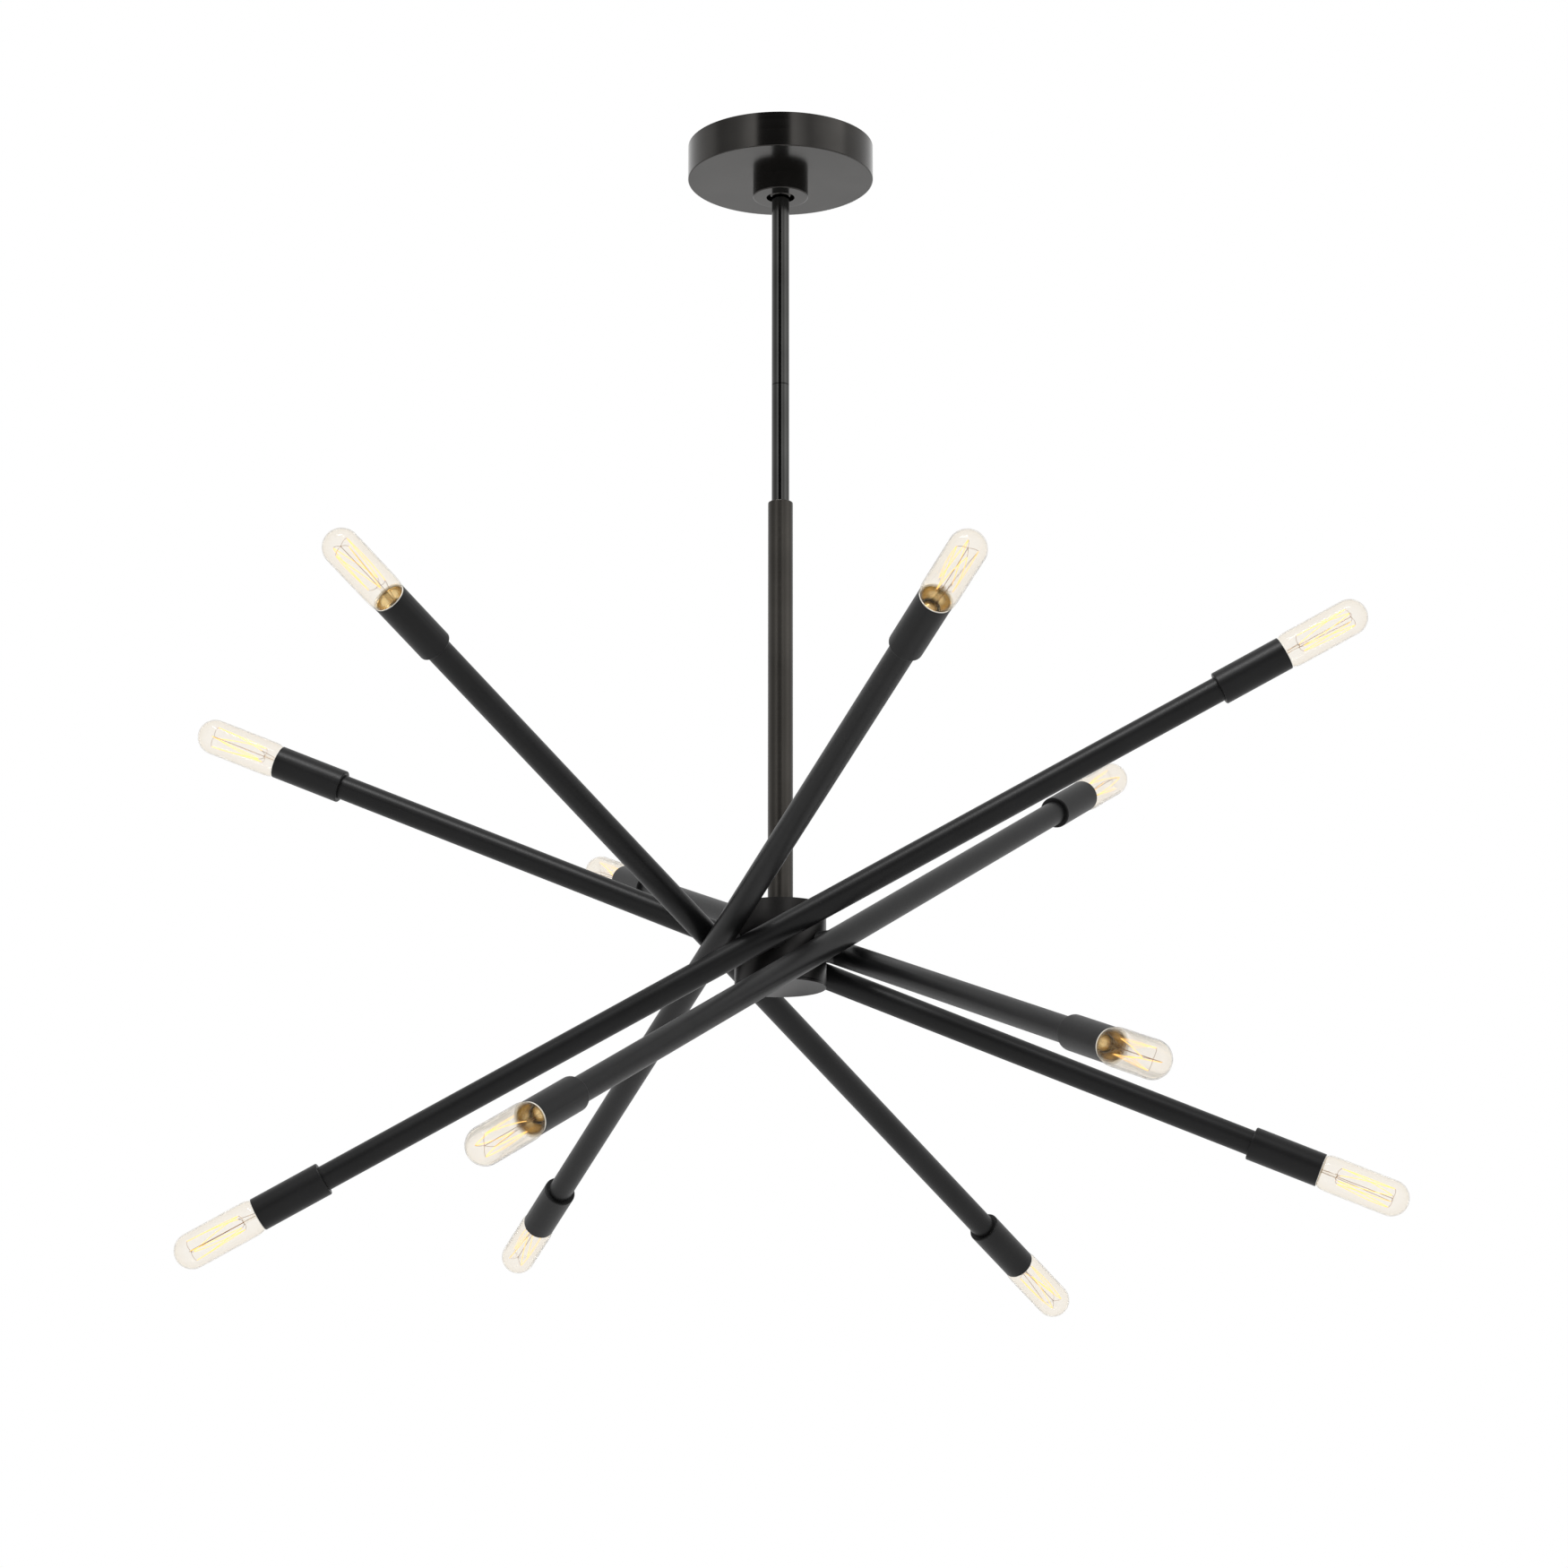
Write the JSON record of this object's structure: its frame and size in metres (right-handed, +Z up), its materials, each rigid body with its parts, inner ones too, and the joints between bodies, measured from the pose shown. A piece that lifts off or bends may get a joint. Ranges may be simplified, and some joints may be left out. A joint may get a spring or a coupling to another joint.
{
  "type": "sputnik chandelier",
  "caption": "Hanging chandelier: straight dark arms cross at a drum hub, each free to tilt on a pivot stud, tubular bulbs at both ends, on a stem with a swivel canopy.",
  "frame": {"origin": "middle of the crossbar's top face, in the plane of the canopy's open rim, on the ceiling", "axes": "+Z up, out of the ceiling side; -Y is the front seen in the picture; the fitting hangs below the origin"},
  "size_m": [0.9191, 0.9031, 0.8829],
  "materials": {
    "black_powder_coat": "matte to satin black powder coat",
    "gunmetal_satin": "satin dark gunmetal",
    "gunmetal_gloss": "glossy dark gunmetal",
    "gunmetal_sleeve": "satin dark gunmetal",
    "zinc_steel": "bright zinc-plated steel",
    "green_screw": "green passivated",
    "socket_porcelain": "white glazed porcelain",
    "bulb_brass": "bright brass",
    "bulb_glass": "clear, faintly warm",
    "filament": "glowing filament on a glass mount"
  },
  "bodies": {
    "ceiling_mount": {"canopy": "gunmetal_satin", "crossbar": "zinc_steel", "nipple": "zinc_steel", "nipple_nuts": "zinc_steel", "ground_screw": "green_screw", "swivel_housing": "zinc_steel", "swivel_collar": "gunmetal_satin"},
    "cross_pin": {"swivel_pin": "zinc_steel"},
    "stem_and_hub": {"swivel_ball": "gunmetal_satin", "upper_stem": "gunmetal_gloss", "stem_coupler": "zinc_steel", "lower_stem": "gunmetal_gloss", "sleeve_tube": "gunmetal_sleeve", "sleeve_cap": "gunmetal_sleeve", "hub_shell": "gunmetal_satin", "hub_cover": "gunmetal_satin", "hub_nut": "zinc_steel"},
    "arm_1": {"arm_tube_1": "black_powder_coat", "arm_pivot_1": "black_powder_coat", "socket_cups_1": "black_powder_coat", "lamp_sockets_1": "socket_porcelain", "bulb_bases_1": "bulb_brass", "bulb_glass_1": "bulb_glass", "bulb_filaments_1": "filament"},
    "arm_2": {"arm_tube_2": "black_powder_coat", "arm_pivot_2": "black_powder_coat", "socket_cups_2": "black_powder_coat", "lamp_sockets_2": "socket_porcelain", "bulb_bases_2": "bulb_brass", "bulb_glass_2": "bulb_glass", "bulb_filaments_2": "filament"},
    "arm_3": {"arm_tube_3": "black_powder_coat", "arm_pivot_3": "black_powder_coat", "socket_cups_3": "black_powder_coat", "lamp_sockets_3": "socket_porcelain", "bulb_bases_3": "bulb_brass", "bulb_glass_3": "bulb_glass", "bulb_filaments_3": "filament"},
    "arm_4": {"arm_tube_4": "black_powder_coat", "arm_pivot_4": "black_powder_coat", "socket_cups_4": "black_powder_coat", "lamp_sockets_4": "socket_porcelain", "bulb_bases_4": "bulb_brass", "bulb_glass_4": "bulb_glass", "bulb_filaments_4": "filament"},
    "arm_5": {"arm_tube_5": "black_powder_coat", "arm_pivot_5": "black_powder_coat", "socket_cups_5": "black_powder_coat", "lamp_sockets_5": "socket_porcelain", "bulb_bases_5": "bulb_brass", "bulb_glass_5": "bulb_glass", "bulb_filaments_5": "filament"},
    "arm_6": {"arm_tube_6": "black_powder_coat", "arm_pivot_6": "black_powder_coat", "socket_cups_6": "black_powder_coat", "lamp_sockets_6": "socket_porcelain", "bulb_bases_6": "bulb_brass", "bulb_glass_6": "bulb_glass", "bulb_filaments_6": "filament"}
  },
  "joints": [
    {"name": "swivel_sideways", "type": "hinge", "parent": "ceiling_mount", "child": "cross_pin", "pos_m": [0, 0, -0.0302], "axis": [0, 1, 0], "range_deg": [-12, 12]},
    {"name": "swivel_fore_aft", "type": "hinge", "parent": "cross_pin", "child": "stem_and_hub", "pos_m": [0, 0, -0.0302], "axis": [1, 0, 0], "range_deg": [-12, 12]},
    {"name": "arm_1_pivot", "type": "hinge", "parent": "stem_and_hub", "child": "arm_1", "pos_m": [-0.00566, -0.04968, -0.6409], "axis": [-0.1132, -0.9936, 0], "range_deg": [0, 55]},
    {"name": "arm_2_pivot", "type": "hinge", "parent": "stem_and_hub", "child": "arm_2", "pos_m": [0.04217, -0.02686, -0.6409], "axis": [0.8434, -0.5373, 0], "range_deg": [0, 55]},
    {"name": "arm_3_pivot", "type": "hinge", "parent": "stem_and_hub", "child": "arm_3", "pos_m": [0.04513, 0.02153, -0.6409], "axis": [0.9026, 0.4305, 0], "range_deg": [0, 55]},
    {"name": "arm_4_pivot", "type": "hinge", "parent": "stem_and_hub", "child": "arm_4", "pos_m": [0.00523, 0.04973, -0.6409], "axis": [0.1045, 0.9945, 0], "range_deg": [0, 55]},
    {"name": "arm_5_pivot", "type": "hinge", "parent": "stem_and_hub", "child": "arm_5", "pos_m": [-0.03993, 0.03009, -0.6409], "axis": [-0.7986, 0.6018, 0], "range_deg": [0, 55]},
    {"name": "arm_6_pivot", "type": "hinge", "parent": "stem_and_hub", "child": "arm_6", "pos_m": [-0.04636, -0.01873, -0.6409], "axis": [-0.9272, -0.3746, 0], "range_deg": [0, 55]}
  ]
}
